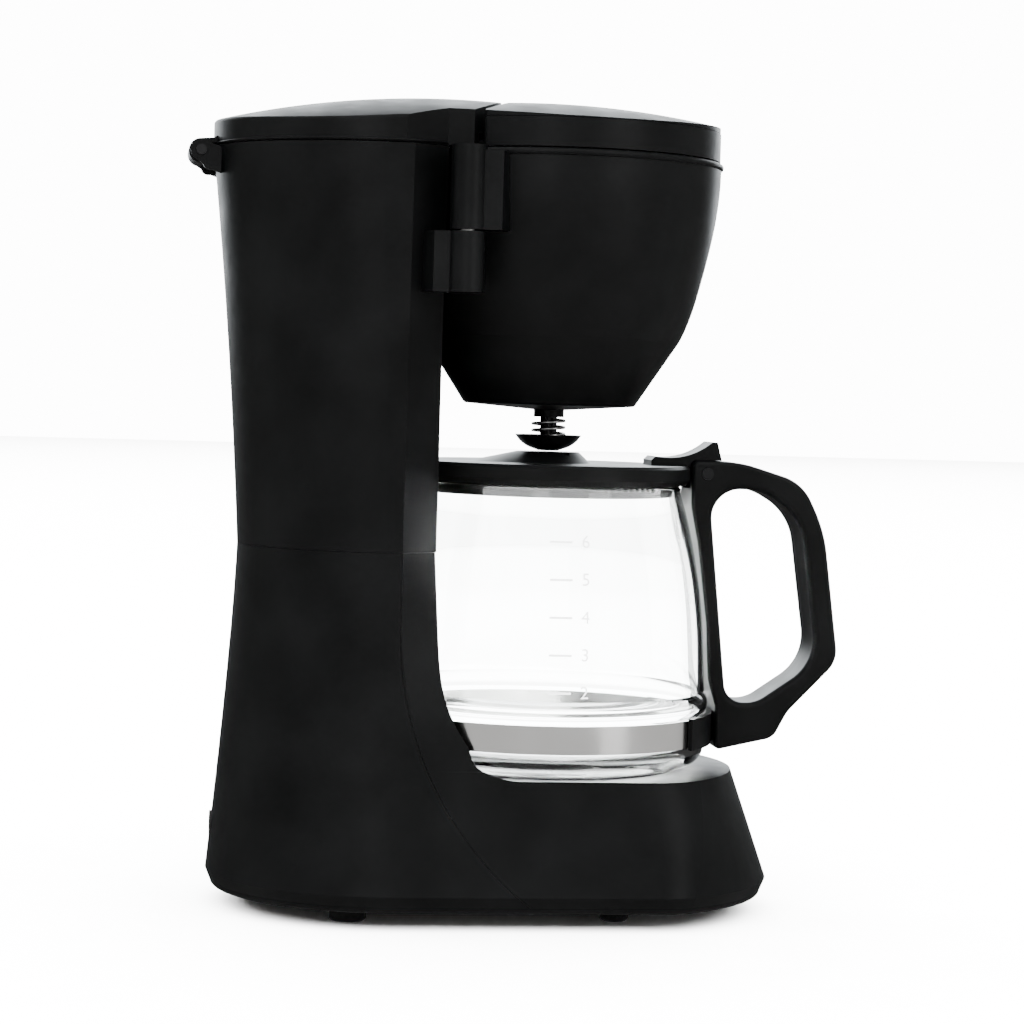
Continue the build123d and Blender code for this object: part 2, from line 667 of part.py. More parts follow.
with BuildPart() as filter_holder:
    add(holder_form(0, HOLDER_TOP_Z))
    fillet(filter_holder.edges().filter_by(GeomType.CIRCLE).group_by(Axis.Z)[0], radius=1.6)
    with BuildSketch(BREW_PLANE):
        with Locations((HOLDER_LIP_R - 1.4, HOLDER_TOP_Z - 1.2)):
            RectangleRounded(2.8, 2.2, 1.0)
    revolve(axis=BREW_AXIS)
    # hinge knuckle and the web that carries it, both trimmed by the hollow below
    knuckle_at(KNUCKLE_SPLIT_Z + 0.3, HOLDER_TOP_Z - KNUCKLE_SPLIT_Z - 0.3, KNUCKLE_R)
    with BuildSketch(Plane.XY.offset(KNUCKLE_SPLIT_Z + 0.3)):
        with BuildLine():
            Polyline((HINGE_X - 3.4, HINGE_Y - 4.6), (-58.2, 13.8), (-50, 10), (-44, 22),
                     (HINGE_X + 3.0, HINGE_Y + 4.9), (HINGE_X - 3.4, HINGE_Y - 4.6))
        make_face()
    extrude(amount=26.2)
    add(holder_form(WALL, HOLDER_TOP_Z + 1), mode=Mode.SUBTRACT)
    with Locations((0, BREW_Y, BOSS_Z)):
        Cylinder(BOSS_R, BOSS_HEIGHT, align=(Align.CENTER, Align.CENTER, Align.MIN))
        Cylinder(STEM_R + 0.25, 12, align=(Align.CENTER, Align.CENTER, Align.MIN), mode=Mode.SUBTRACT)
    with Locations((HINGE_X, HINGE_Y, KNUCKLE_SPLIT_Z - 1)):
        Cylinder(HINGE_PIN_R + 0.08, 27, align=(Align.CENTER, Align.CENTER, Align.MIN), mode=Mode.SUBTRACT)
save(filter_holder, "filter_holder")

with BuildPart() as swing_hinge_pin:
    with Locations((HINGE_X, HINGE_Y, KNUCKLE_SPLIT_Z - 20.0)):
        Cylinder(HINGE_PIN_R - 0.02, 44, align=(Align.CENTER, Align.CENTER, Align.MIN))
    chamfer(swing_hinge_pin.edges().group_by(Axis.Z)[-1], length=0.6)
save(swing_hinge_pin, "swing_hinge_pin")

INSERT_TOP_Z = 259.0
with BuildPart() as filter_insert:
    with BuildSketch(BREW_PLANE):
        with BuildLine():
            Polyline((55.0, INSERT_TOP_Z), (54.0, INSERT_TOP_Z - 2.2), (51.6, INSERT_TOP_Z - 2.2),
                     (46.5, 219), (24.0, 184.0), (0, 184.0))
            Polyline((0, 184.0), (0, 185.8), (23.0, 185.8), (44.8, 219.8), (50.0, INSERT_TOP_Z),
                     (55.0, INSERT_TOP_Z))
        make_face()
    revolve(axis=BREW_AXIS)
    with BuildSketch(Plane.XY.offset(183)):
        with Locations((0, BREW_Y)):
            Circle(2.5)
            with PolarLocations(14, 10):
                SlotOverall(9, 1.6)
    extrude(amount=4, mode=Mode.SUBTRACT)
save(filter_insert, "filter_insert")

# ---- Drip stop -----------------------------------------------------------------------------
DRIP_TIP_Z = 158.9
DRIP_RIM_Z = 164.4
FLOOR_Z = HOLDER_CORNER[1] - 2.2 + WALL     # top of the holder's floor at its middle
SEAL_Z = FLOOR_Z + 4.3                      # lifted by the jug; it drops 3.5 when the jug is away
with BuildPart() as drip_stop_valve:
    with BuildSketch(BREW_PLANE):
        with BuildLine():
            Polyline((0, DRIP_TIP_Z), (3.4, DRIP_TIP_Z), (6.4, DRIP_TIP_Z + 1.0))
            Spline((6.4, DRIP_TIP_Z + 1.0), (9.6, DRIP_TIP_Z + 3.0), (11.6, DRIP_RIM_Z))
            Polyline((11.6, DRIP_RIM_Z), (10.8, DRIP_RIM_Z), (8.0, DRIP_TIP_Z + 3.2),
                     (4.4, DRIP_TIP_Z + 2.4), (STEM_R, DRIP_TIP_Z + 3.4), (STEM_R, SEAL_Z),
                     (STEM_R - 1.0, SEAL_Z), (STEM_R - 1.0, SEAL_Z + 3), (0, SEAL_Z + 3), (0, DRIP_TIP_Z))
        make_face()
    revolve(axis=BREW_AXIS)
    # flutes that let the coffee run down along the stem
    with BuildSketch(Plane.XY.offset(DRIP_TIP_Z + 6)):
        with Locations((0, BREW_Y)):
            with PolarLocations(STEM_R, 4):
                Circle(1.1)
    extrude(amount=SEAL_Z - 1.5 - DRIP_TIP_Z - 6, mode=Mode.SUBTRACT)
save(drip_stop_valve, "drip_stop_valve")

with BuildPart() as drip_stop_seal:
    with Locations((0, BREW_Y, SEAL_Z)):
        Cylinder(5.6, 1.8, align=(Align.CENTER, Align.CENTER, Align.MIN))
        Cylinder(STEM_R - 1.0, 4, align=(Align.CENTER, Align.CENTER, Align.MIN), mode=Mode.SUBTRACT)
save(drip_stop_seal, "drip_stop_seal")

SPRING_BOTTOM = DRIP_TIP_Z + 4.2
SPRING_TOP = BOSS_Z - 0.6
with BuildPart() as drip_stop_spring:
    with BuildLine() as coil:
        Helix(pitch=(SPRING_TOP - SPRING_BOTTOM) / 3, height=SPRING_TOP - SPRING_BOTTOM, radius=5.6,
              center=(0, BREW_Y, SPRING_BOTTOM))
    with BuildSketch(Plane(origin=coil.line @ 0, z_dir=coil.line % 0)):
        Circle(0.45)
    sweep(path=coil.line, is_frenet=True)
save(drip_stop_spring, "drip_stop_spring")

# ---- Warming plate and water heater --------------------------------------------------------
TUBE_Z = DECK_Z - WALL - TUBE_R
HEATER_Z = DECK_Z - WALL - HEATER_R
HEATER_BEND_R = TUBE_BEND_R + TUBE_R + HEATER_R + 0.05
LEG_END_Y = 34.0
TERMINAL_Y = 18.0
LEG_DROP = 6.5            # the water tube dips by this much to reach its hoses
HOSE_R = 6.4

with BuildPart() as plate_gasket:
    with Locations((0, BREW_Y, DECK_Z - 1.2)):
        Cylinder(48.2, 0.7, align=(Align.CENTER, Align.CENTER, Align.MIN))
        Cylinder(43.8, 2, align=(Align.CENTER, Align.CENTER, Align.MIN), mode=Mode.SUBTRACT)
save(plate_gasket, "plate_gasket")

with BuildPart() as warming_plate:
    with Locations((0, BREW_Y, DECK_Z - 0.5)):
        Cylinder(48.0, PLATE_TOP_Z - DECK_Z + 0.5, align=(Align.CENTER, Align.CENTER, Align.MIN))
    fillet(warming_plate.edges().group_by(Axis.Z)[-1], radius=1.0)
    with Locations((0, BREW_Y, DECK_Z - WALL)):
        Cylinder(43.2, WALL, align=(Align.CENTER, Align.CENTER, Align.MIN))
save(warming_plate, "warming_plate")


def under_plate_loop(bend_r, z, end_y, drop, outer, bore):
    """U-shaped tube that lies under the plate with both legs towards the back."""
    front = BREW_Y - bend_r
    leg = [(bend_r, end_y, z)]
    if drop:
        leg = [(bend_r, end_y, z - drop), (bend_r, end_y - 12, z - drop), (bend_r, end_y - 28, z)]
    corner = (bend_r, front, z)
    left = [(-x, y, height) for x, y, height in reversed(leg + [corner])]
    bends = [12] * (len(leg) - 1)
    return tube(leg + [corner] + left, bends + [bend_r - 0.5] * 2 + bends, outer, bore)


water_tube = under_plate_loop(TUBE_BEND_R, TUBE_Z, LEG_END_Y, LEG_DROP, TUBE_R, 3.0)
save(water_tube, "water_tube")
heater_element = under_plate_loop(HEATER_BEND_R, HEATER_Z, TERMINAL_Y, 0, HEATER_R, 0)
save(heater_element, "heater_element")

with BuildPart() as heater_terminals:
    for x in (-HEATER_BEND_R, HEATER_BEND_R):
        with BuildSketch(Plane.XZ.offset(-TERMINAL_Y)):
            with Locations((x, HEATER_Z)):
                Circle(2.8)
        extrude(amount=-4)
        with BuildSketch(Plane.XZ.offset(-TERMINAL_Y - 4)):
            with Locations((x, HEATER_Z)):
                Rectangle(0.8, 6.3)
        extrude(amount=-9)
save(heater_terminals, "heater_terminals")

BAR_Z = TUBE_Z - TUBE_R - 1.6
BAR_POSTS = [(-13, BREW_Y), (13, BREW_Y)]
with BuildPart() as heater_bracket:
    with BuildSketch(Plane.XY.offset(BAR_Z)):
        with Locations((0, BREW_Y)):
            SlotOverall(80, 14)
        with Locations(*BAR_POSTS):
            Circle(1.7, mode=Mode.SUBTRACT)
    extrude(amount=1.6)
save(heater_bracket, "heater_bracket")

with BuildPart() as bracket_screws:
    with Locations(*[Location((x, y, BAR_Z - 1.8)) for x, y in BAR_POSTS]):
        Cylinder(3.1, 1.8, align=(Align.CENTER, Align.CENTER, Align.MIN))
        Cylinder(1.5, DECK_Z - WALL - BAR_Z + 1.8, align=(Align.CENTER, Align.CENTER, Align.MIN))
    with BuildSketch(Plane.XY.offset(BAR_Z - 1.8)):
        with Locations(*BAR_POSTS):
            Rectangle(3.8, 0.8)
            Rectangle(0.8, 3.8)
    extrude(amount=1.0, mode=Mode.SUBTRACT)
save(bracket_screws, "bracket_screws")

with BuildPart() as thermostat:
    with BuildSketch(Plane.XY.offset(DECK_Z - WALL)):
        with Locations((0, BREW_Y + 17)):
            Circle(8)
    extrude(amount=-6)
    with BuildSketch(Plane.XY.offset(DECK_Z - WALL - 6)):
        with Locations((0, BREW_Y + 17)):
            Circle(6.4)
            with Locations((0, 0)):
                Rectangle(3, 24)
    extrude(amount=-3)
    with BuildSketch(Plane.XY.offset(DECK_Z - WALL - 9)):
        with Locations((-3.5, BREW_Y + 17), (3.5, BREW_Y + 17)):
            Rectangle(0.8, 6.3)
    extrude(amount=-7)
save(thermostat, "thermostat")

with BuildPart() as thermal_fuses:
    for x in (-7, 7):
        with BuildSketch(Plane.XZ.offset(22)):
            with Locations((x, DECK_Z - WALL - 2.2)):
                Circle(2.1)
        extrude(amount=-18)
save(thermal_fuses, "thermal_fuses")


def hose_route(side):
    low = TUBE_Z - LEG_DROP
    return [(side * TUBE_BEND_R, LEG_END_Y - 8, low), (side * HOSE_X, HOSE_Y, low),
            (side * HOSE_X, HOSE_Y, TANK_FLOOR - 2)]


CHECK_Z = 92.0
feed_hose = tube(hose_route(1)[:2] + [(HOSE_X, HOSE_Y, CHECK_Z - 1)], 16, HOSE_R, TUBE_R + 0.15)
save(feed_hose, "feed_hose")
riser_hose = tube(hose_route(-1), 16, HOSE_R, TUBE_R + 0.15)
save(riser_hose, "riser_hose")

with BuildPart() as check_valve:
    with Locations((HOSE_X, HOSE_Y, CHECK_Z - 11)):
        Cylinder(4.6, 28, align=(Align.CENTER, Align.CENTER, Align.MIN))
    with Locations((HOSE_X, HOSE_Y, CHECK_Z)):
        Cylinder(8.0, 8, align=(Align.CENTER, Align.CENTER, Align.MIN))
    with Locations((HOSE_X, HOSE_Y, CHECK_Z - 12)):
        Cylinder(2.6, 40, align=(Align.CENTER, Align.CENTER, Align.MIN), mode=Mode.SUBTRACT)
save(check_valve, "check_valve")

with BuildPart() as outlet_hose:
    with Locations((HOSE_X, HOSE_Y, CHECK_Z + 9)):
        Cylinder(HOSE_R, TANK_FLOOR - 2 - CHECK_Z - 9, align=(Align.CENTER, Align.CENTER, Align.MIN))
        Cylinder(TUBE_R + 0.15, 40, align=(Align.CENTER, Align.CENTER, Align.MIN), mode=Mode.SUBTRACT)
save(outlet_hose, "outlet_hose")

with BuildPart() as hose_clamps:
    rings = [(HOSE_X, TANK_FLOOR - 8), (-HOSE_X, TANK_FLOOR - 8), (HOSE_X, CHECK_Z + 11),
             (HOSE_X, CHECK_Z - 8)]
    for x, z in rings:
        with Locations((x, HOSE_Y, z)):
            Cylinder(HOSE_R + 0.9, 4, align=(Align.CENTER, Align.CENTER, Align.MIN))
            Cylinder(HOSE_R + 0.05, 4, align=(Align.CENTER, Align.CENTER, Align.MIN), mode=Mode.SUBTRACT)
    for x in (-TUBE_BEND_R, TUBE_BEND_R):
        with BuildSketch(Plane.XZ.offset(4 - LEG_END_Y)):
            with Locations((x, TUBE_Z - LEG_DROP)):
                Circle(HOSE_R + 0.9)
                Circle(HOSE_R + 0.05, mode=Mode.SUBTRACT)
        extrude(amount=4)
save(hose_clamps, "hose_clamps")

# ---- Switch --------------------------------------------------------------------------------
ROCKER_TILT = 9.0
ROCKER_DEPTH = 3.0        # the rocker's pivot lies this far under the housing's face
PIVOT_R = 1.0
PIVOT_REACH = 6.2
pivot = SWITCH_PLANE.offset(1.4 - ROCKER_DEPTH)
across = Plane(origin=pivot.origin, x_dir=pivot.x_dir, z_dir=-pivot.y_dir)

with BuildPart() as switch_housing:
    with BuildSketch(SWITCH_PLANE.offset(0.35)):
        RectangleRounded(24, 17, 2.5)
    extrude(amount=1.2)
    with BuildSketch(SWITCH_PLANE.offset(0.35)):
        Rectangle(20, 13)
    extrude(amount=-14)
    with BuildSketch(SWITCH_PLANE.offset(2)):
        Rectangle(18.4, 10.6)
    extrude(amount=-12.5, mode=Mode.SUBTRACT)
    for x in (-5, 5):
        with BuildSketch(SWITCH_PLANE.offset(-13.6)):
            with Locations((x, 0)):
                Rectangle(0.8, 6.3)
        extrude(amount=-8)
    with BuildSketch(across.offset(-8)):
        Circle(PIVOT_R + 0.08)
    extrude(amount=16, mode=Mode.SUBTRACT)
save(switch_housing, "switch_housing")

with BuildPart() as switch_rocker:
    with BuildSketch(across.offset(-4.9)):
        with BuildLine():
            Polyline((-8.6, 3.0), (0, 1.6), (8.6, 3.0), (8.6, -1.2), (4, -3.4), (-4, -3.4), (-8.6, -1.2),
                     (-8.6, 3.0))
        make_face()
    extrude(amount=9.8)
    # pivots that snap into the housing's ends
    with BuildSketch(across.offset(-PIVOT_REACH)):
        Circle(PIVOT_R)
    extrude(amount=2 * PIVOT_REACH)
switch_rocker.part = switch_rocker.part.rotate(Axis(pivot.origin, pivot.y_dir), ROCKER_TILT)
save(switch_rocker, "switch_rocker")

# ---- Jug -----------------------------------------------------------------------------------
BAND_LOW = 59.0
BAND_HIGH = 68.5
BAND_R = 58.0
GLASS_RIM_Z = 147.6

with BuildPart() as jug_glass:
    with BuildSketch(BREW_PLANE):
        with BuildLine():
            Polyline((0, JUG_BOTTOM_Z + 1.0), (40, JUG_BOTTOM_Z + 0.9), (46, JUG_BOTTOM_Z),
                     (49.5, JUG_BOTTOM_Z))
            ThreePointArc((49.5, JUG_BOTTOM_Z), (55.9, 53.2), (BAND_R - 0.7, BAND_LOW - 0.6))
            Polyline((BAND_R - 0.7, BAND_LOW - 0.6), (BAND_R - 0.7, BAND_HIGH + 0.4))
            ThreePointArc((BAND_R - 0.7, BAND_HIGH + 0.4), (58.4, 71.2), (57.3, 76.4))
            Spline((57.3, 76.4), (56.4, 95), (51.4, 129), (47.4, 143.6), (46.9, GLASS_RIM_Z - 1.5),
                   tangents=[(-0.06, 1), (0.05, 1)])
            ThreePointArc((46.9, GLASS_RIM_Z - 1.5), (45.7, GLASS_RIM_Z), (44.7, GLASS_RIM_Z - 1.4))
            Spline((44.7, GLASS_RIM_Z - 1.4), (45.2, 142.6), (49.2, 128.4), (54.2, 94.7), (55.1, 76),
                   (54.9, BAND_LOW + 1), tangents=[(-0.05, -1), (-0.03, -1)])
            Spline((54.9, BAND_LOW + 1), (52.6, 55.6), (46, 53.3), tangents=[(-0.05, -1), (-1, -0.05)])
            Polyline((46, 53.3), (0, 54.0), (0, JUG_BOTTOM_Z + 1.0))
        make_face()
    revolve(axis=BREW_AXIS)
save(jug_glass, "jug_glass")

with BuildPart() as jug_band:
    with BuildSketch(BREW_PLANE):
        with Locations((BAND_R - 0.3, (BAND_LOW + BAND_HIGH) / 2)):
            Rectangle(0.7, BAND_HIGH - BAND_LOW)
    revolve(axis=BREW_AXIS)
save(jug_band, "jug_band")

COLLAR_TURN = 38.0        # the collar reaches this far round each side of the jug, in degrees
HANDLE_SEAM_Y = -72.4     # upright joint between collar and handle
with BuildPart() as handle_collar:
    with BuildSketch(Plane.XY.offset(BAND_LOW - 0.6)):
        with BuildLine():
            left, right = polar(BAND_R + 2.0, COLLAR_TURN), polar(BAND_R + 2.0, -COLLAR_TURN)
            inner_left, inner_right = polar(BAND_R + 0.1, COLLAR_TURN), polar(BAND_R + 0.1, -COLLAR_TURN)
            ThreePointArc(left, polar(BAND_R + 2.0, 0), right)
            Line(right, inner_right)
            ThreePointArc(inner_right, polar(BAND_R + 0.1, 0), inner_left)
            Line(inner_left, left)
        make_face()
        with BuildLine():
            reach = BREW_Y - BAND_R - 1
            Polyline((-9, reach), (-7, HANDLE_SEAM_Y + 0.2), (7, HANDLE_SEAM_Y + 0.2), (9, reach),
                     (-9, reach))
        make_face()
    extrude(amount=BAND_HIGH - BAND_LOW + 1.2)
    fillet(handle_collar.edges().filter_by(Axis.Z).group_by(Axis.Y)[-1], radius=0.8)
    with BuildSketch(Plane.XZ.offset(50)):
        with Locations((0, 64)):
            Circle(1.55)
    extrude(amount=40, mode=Mode.SUBTRACT)
save(handle_collar, "handle_collar")

with BuildPart() as jug_handle:
    with BuildSketch(Plane.YZ.offset(-HANDLE_HALF)):
        with BuildLine():
            FilletPolyline(
                (-62.0, 156.6), (-78.5, 156.8), (-101.5, 150.0), (-109.8, 133.0), (-116.0, 87.5),
                (-98.4, 69.2), (-93.6, 60.0), (HANDLE_SEAM_Y, 55.3),
                (HANDLE_SEAM_Y, 71.0), (-69.5, 80), (-68.3, 100), (-64.4, 128), (-61.6, 141),
                radius=[2, 40, 17, 50, 10, 14, 6, 2, 2, 12, 30, 30, 20], close=True,
            )
        make_face()
        with BuildLine():
            FilletPolyline(
                (-68.2, 147.0), (-86.0, 147.2), (-100.9, 138.4), (-108.3, 86.8), (-87.0, 72.2),
                (-76.3, 72.4),
                radius=[10, 20, 20, 17, 12, 7], close=True,
            )
        make_face(mode=Mode.SUBTRACT)
    extrude(amount=2 * HANDLE_HALF)
    cheeks = jug_handle.faces().filter_by(Axis.X)
    fillet([edge for cheek in cheeks for edge in cheek.inner_wires()[0].edges()], radius=2.2)
    cheeks = jug_handle.faces().filter_by(Axis.X)
    fillet([edge for cheek in cheeks for edge in cheek.outer_wire().edges()], radius=1.4)
    # slot between the ears for the jug lid's tongue
    with BuildSketch(Plane.YZ.offset(-6.3)):
        with BuildLine():
            Polyline((-55, 146.8), (-69.5, 146.8), (-72.6, 150), (-72.6, 160), (-55, 160), (-55, 146.8))
        make_face()
    extrude(amount=12.6, mode=Mode.SUBTRACT)
    with BuildSketch(Plane.YZ.offset(-20)):
        with Locations((PIVOT_Y, PIVOT_Z)):
            Circle(2.1)
    extrude(amount=40, mode=Mode.SUBTRACT)
    with BuildSketch(Plane.XZ.offset(50)):
        with Locations((0, 64)):
            Circle(1.55)
    extrude(amount=32, mode=Mode.SUBTRACT)
save(jug_handle, "jug_handle")

with BuildPart() as handle_screw:
    with BuildSketch(Plane.XZ.offset(-BREW_Y + BAND_R + 0.3)):
        with Locations((0, 64)):
            Circle(1.5)
    extrude(amount=10)
save(handle_screw, "handle_screw")

with BuildPart() as jug_lid_pin:
    with BuildSketch(Plane.YZ.offset(-HANDLE_HALF - 0.3)):
        with Locations((PIVOT_Y, PIVOT_Z)):
            Circle(2.05)
    extrude(amount=2 * HANDLE_HALF + 0.6)
save(jug_lid_pin, "jug_lid_pin")

LID_TOP_Z = 154.8
HUMP_Z = 158.5
HUMP_Y = -9.0
with BuildPart() as jug_lid:
    with BuildSketch(BREW_PLANE):
        with BuildLine():
            Polyline((0, LID_TOP_Z - 2.0), (42.2, LID_TOP_Z - 2.0), (42.2, GLASS_RIM_Z - 4),
                     (44.0, GLASS_RIM_Z - 4), (44.3, GLASS_RIM_Z + 0.4), (48.6, GLASS_RIM_Z + 0.4),
                     (50, GLASS_RIM_Z + 2.2), (50, LID_TOP_Z - 1.0), (49, LID_TOP_Z), (0, LID_TOP_Z),
                     (0, LID_TOP_Z - 2.0))
        make_face()
    revolve(axis=BREW_AXIS)
    # raised middle that lifts the drip stop
    with BuildSketch(Plane.XY.offset(LID_TOP_Z - 0.5)):
        with Locations((0, -5)):
            Ellipse(20, 22.5)
    with BuildSketch(Plane.XY.offset(HUMP_Z)):
        with Locations((0, HUMP_Y - 3)):
            Ellipse(9, 11)
    loft()
    with BuildSketch(Plane.XY.offset(LID_TOP_Z - 4)):
        with Locations((0, BREW_Y)):
            with PolarLocations(9.5, 6, start_angle=30):
                Circle(1.8)
    extrude(amount=10, mode=Mode.SUBTRACT)
    # thumb lever and the tongue that turns on the pin
    with BuildSketch(Plane.YZ.offset(-8)):
        with BuildLine():
            Polyline((-47.5, 154.0), (-47.5, 156.6), (-49.0, 158.0))
            ThreePointArc((-49.0, 158.0), (-60.8, 158.7), (-69.2, 163.4))
            Polyline((-69.2, 163.4), (-71.0, 163.3), (-72.6, 157.0), (-62.5, 156.9), (-60, 154.0),
                     (-47.5, 154.0))
        make_face()
    extrude(amount=16)
    with BuildSketch(Plane.YZ.offset(-6)):
        with BuildLine():
            Polyline((-60, 153), (-60, 158), (-70.2, 158), (-71.6, PIVOT_Z), (-70.0, 149.0), (-66, 148.2),
                     (-60, 153))
        make_face()
    extrude(amount=12)
    with BuildSketch(Plane.YZ.offset(-20)):
        with Locations((PIVOT_Y, PIVOT_Z)):
            Circle(2.12)
    extrude(amount=40, mode=Mode.SUBTRACT)
save(jug_lid, "jug_lid")
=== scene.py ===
import json
import math

import bmesh
import bpy
from mathutils import Matrix, Vector
from mathutils.bvhtree import BVHTree


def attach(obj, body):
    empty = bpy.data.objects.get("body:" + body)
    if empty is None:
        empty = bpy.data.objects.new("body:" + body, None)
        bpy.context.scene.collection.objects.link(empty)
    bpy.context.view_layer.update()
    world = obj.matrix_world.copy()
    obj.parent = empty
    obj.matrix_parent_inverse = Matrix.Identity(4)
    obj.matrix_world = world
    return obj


# Drip coffee maker, metres, in the frame's own axes: front -Y, back +Y, up +Z.
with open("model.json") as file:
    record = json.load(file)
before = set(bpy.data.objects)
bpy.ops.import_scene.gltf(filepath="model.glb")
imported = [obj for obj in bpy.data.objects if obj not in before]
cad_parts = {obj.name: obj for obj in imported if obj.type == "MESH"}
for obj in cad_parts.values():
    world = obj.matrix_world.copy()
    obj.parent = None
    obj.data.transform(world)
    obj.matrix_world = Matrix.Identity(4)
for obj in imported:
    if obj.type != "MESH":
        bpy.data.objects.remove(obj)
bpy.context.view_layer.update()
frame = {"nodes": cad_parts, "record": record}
NODES = frame["nodes"]

MM = 0.001
NOISE_LOW, NOISE_HIGH = 0.3, 0.7    # where most of a noise texture's values lie


# ---- Node materials --------------------------------------------------------------------------
def new_material(name):
    """New node material, with its node tree and its Principled shader."""
    material = bpy.data.materials.new(name)
    material.use_nodes = True
    tree = material.node_tree
    return material, tree, tree.nodes["Principled BSDF"]


def noise(tree, scale, detail=3.0, stretch=(1, 1, 1)):
    """Noise in the object's own coordinates, in metres, so it is the same size on every piece."""
    coords = tree.nodes.new("ShaderNodeTexCoord")
    mapping = tree.nodes.new("ShaderNodeMapping")
    mapping.inputs["Scale"].default_value = stretch
    texture = tree.nodes.new("ShaderNodeTexNoise")
    texture.inputs["Scale"].default_value = scale
    texture.inputs["Detail"].default_value = detail
    tree.links.new(coords.outputs["Object"], mapping.inputs["Vector"])
    tree.links.new(mapping.outputs["Vector"], texture.inputs["Vector"])
    return texture.outputs["Fac"]


def spread(tree, value, low, high):
    """Maps the middle of the noise's range to low..high."""
    node = tree.nodes.new("ShaderNodeMapRange")
    node.inputs["From Min"].default_value = NOISE_LOW
    node.inputs["From Max"].default_value = NOISE_HIGH
    node.inputs["To Min"].default_value = low
    node.inputs["To Max"].default_value = high
    tree.links.new(value, node.inputs["Value"])
    return node.outputs["Result"]


def tint(tree, value, dark, light):
    """Maps the middle of the noise's range to a colour between dark and light."""
    ramp = tree.nodes.new("ShaderNodeValToRGB")
    ramp.color_ramp.elements[0].position = NOISE_LOW
    ramp.color_ramp.elements[0].color = (*dark, 1)
    ramp.color_ramp.elements[1].position = NOISE_HIGH
    ramp.color_ramp.elements[1].color = (*light, 1)
    tree.links.new(value, ramp.inputs["Fac"])
    return ramp.outputs["Color"]


def bump(tree, shader, height, strength, distance, under=None):
    """Bump on the shader's normal, laid over the normal of an earlier bump if one is given."""
    node = tree.nodes.new("ShaderNodeBump")
    node.inputs["Strength"].default_value = strength
    node.inputs["Distance"].default_value = distance
    tree.links.new(height, node.inputs["Height"])
    if under:
        tree.links.new(under, node.inputs["Normal"])
    tree.links.new(node.outputs["Normal"], shader.inputs["Normal"])
    return node.outputs["Normal"]


def surface(name, dark, light, rough, grain, depth, ior=1.45, metallic=0.0, stretch=(1, 1, 1),
            coat=0.0):
    """General finish: cloudy colour, uneven gloss and a fine grain of the given scale and depth."""
    material, tree, shader = new_material(name)
    tree.links.new(tint(tree, noise(tree, 38), dark, light), shader.inputs["Base Color"])
    tree.links.new(spread(tree, noise(tree, 90), rough[0], rough[1]), shader.inputs["Roughness"])
    shader.inputs["IOR"].default_value = ior
    shader.inputs["Metallic"].default_value = metallic
    shader.inputs["Coat Weight"].default_value = coat
    waviness = bump(tree, shader, noise(tree, 45, 1.0), 0.12, 0.0004)
    bump(tree, shader, noise(tree, grain, 2.0, stretch), 0.35, depth, waviness)
    return material


def glass(name):
    """Clear glass with the slight waviness of a blown wall."""
    material, tree, shader = new_material(name)
    shader.inputs["Base Color"].default_value = (0.975, 0.99, 0.985, 1)
    shader.inputs["Transmission Weight"].default_value = 1.0
    shader.inputs["IOR"].default_value = 1.47
    tree.links.new(spread(tree, noise(tree, 60), 0.0, 0.015), shader.inputs["Roughness"])
    bump(tree, shader, noise(tree, 26, 1.0, (1, 1, 0.35)), 0.1, 0.0006)
    return material


MATERIALS = {
    "black_plastic": surface("black_plastic", (0.0003, 0.00034, 0.00036), (0.0007, 0.00076, 0.0008),
                             (0.36, 0.44), 2600, 0.00003, ior=1.2),
    "dark_plastic": surface("dark_plastic", (0.0006, 0.0006, 0.0007), (0.0012, 0.0012, 0.0013),
                            (0.28, 0.36), 2000, 0.00002, ior=1.28),
    "rubber": surface("rubber", (0.0015, 0.0015, 0.0015), (0.003, 0.003, 0.003),
                      (0.7, 0.85), 1600, 0.00005, ior=1.2),
    "silicone": surface("silicone", (0.55, 0.55, 0.52), (0.68, 0.68, 0.65),
                        (0.45, 0.55), 900, 0.00003),
    "glass": glass("glass"),
    "stainless": surface("stainless", (0.84, 0.825, 0.8), (0.92, 0.91, 0.89),
                         (0.16, 0.26), 1500, 0.000006, metallic=1.0, stretch=(0.15, 0.15, 3)),
    "warming_coating": surface("warming_coating", (0.006, 0.006, 0.0065), (0.01, 0.01, 0.0105),
                               (0.3, 0.42), 1200, 0.00003, ior=1.35),
    "aluminium": surface("aluminium", (0.66, 0.66, 0.66), (0.76, 0.76, 0.76),
                         (0.3, 0.42), 900, 0.00002, metallic=1.0),
    "steel": surface("steel", (0.5, 0.5, 0.5), (0.64, 0.64, 0.62),
                     (0.25, 0.38), 1300, 0.00001, metallic=1.0),
    "ceramic": surface("ceramic", (0.7, 0.68, 0.62), (0.82, 0.8, 0.75),
                       (0.3, 0.4), 700, 0.00002),
    "rocker": surface("rocker", (0.002, 0.002, 0.002), (0.0035, 0.0035, 0.0035),
                      (0.12, 0.2), 1500, 0.00001, ior=1.35, coat=0.3),
}
cup_print = surface("print_white", (0.3, 0.3, 0.3), (0.38, 0.38, 0.38), (0.5, 0.6), 1500, 0.00001)


def finish_node(name, material):
    """Gives a CAD node its finish on every face."""
    node = NODES[name]
    if not node.material_slots:
        node.data.materials.append(material)
    for place in node.material_slots:
        place.material = material


for part in frame["record"]["subparts"]:
    finish_node(part["node"], MATERIALS[part["material_slot"]])


# ---- Mesh helpers ----------------------------------------------------------------------------
def link_mesh(name, mesh_data, material, body, smooth=True):
    """Object from a bmesh, with its material and the CAD body that it moves with."""
    mesh = bpy.data.meshes.new(name)
    mesh_data.to_mesh(mesh)
    mesh_data.free()
    piece = bpy.data.objects.new(name, mesh)
    bpy.context.scene.collection.objects.link(piece)
    mesh.materials.append(material)
    for polygon in mesh.polygons:
        polygon.use_smooth = smooth
    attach(piece, body)
    return piece


